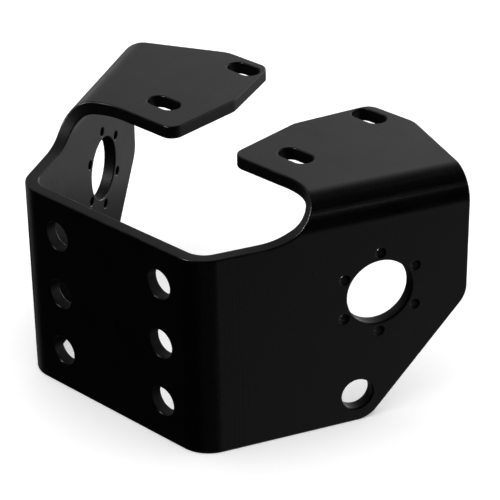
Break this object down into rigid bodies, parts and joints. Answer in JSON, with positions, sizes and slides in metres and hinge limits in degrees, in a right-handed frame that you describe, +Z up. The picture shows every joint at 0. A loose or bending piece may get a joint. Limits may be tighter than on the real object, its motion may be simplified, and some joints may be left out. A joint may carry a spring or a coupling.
{
  "type": "pan tilt camera mount",
  "caption": "Folded metal bracket for a pan and tilt camera head: drilled front panel, splayed side wings with pivot bores, and slotted flanges folded in along the top.",
  "frame": {"origin": "middle of the footprint, on the plane of the plate's lower edges", "axes": "+Z up to the flanges' top faces, -Y out of the front panel, +X to the right seen from behind the front panel looking along +Y"},
  "size_m": [0.1764, 0.113, 0.092],
  "materials": {
    "black_powder_coat": "satin"
  },
  "bodies": {
    "root": {"bracket_plate": "black_powder_coat"}
  },
  "joints": []
}
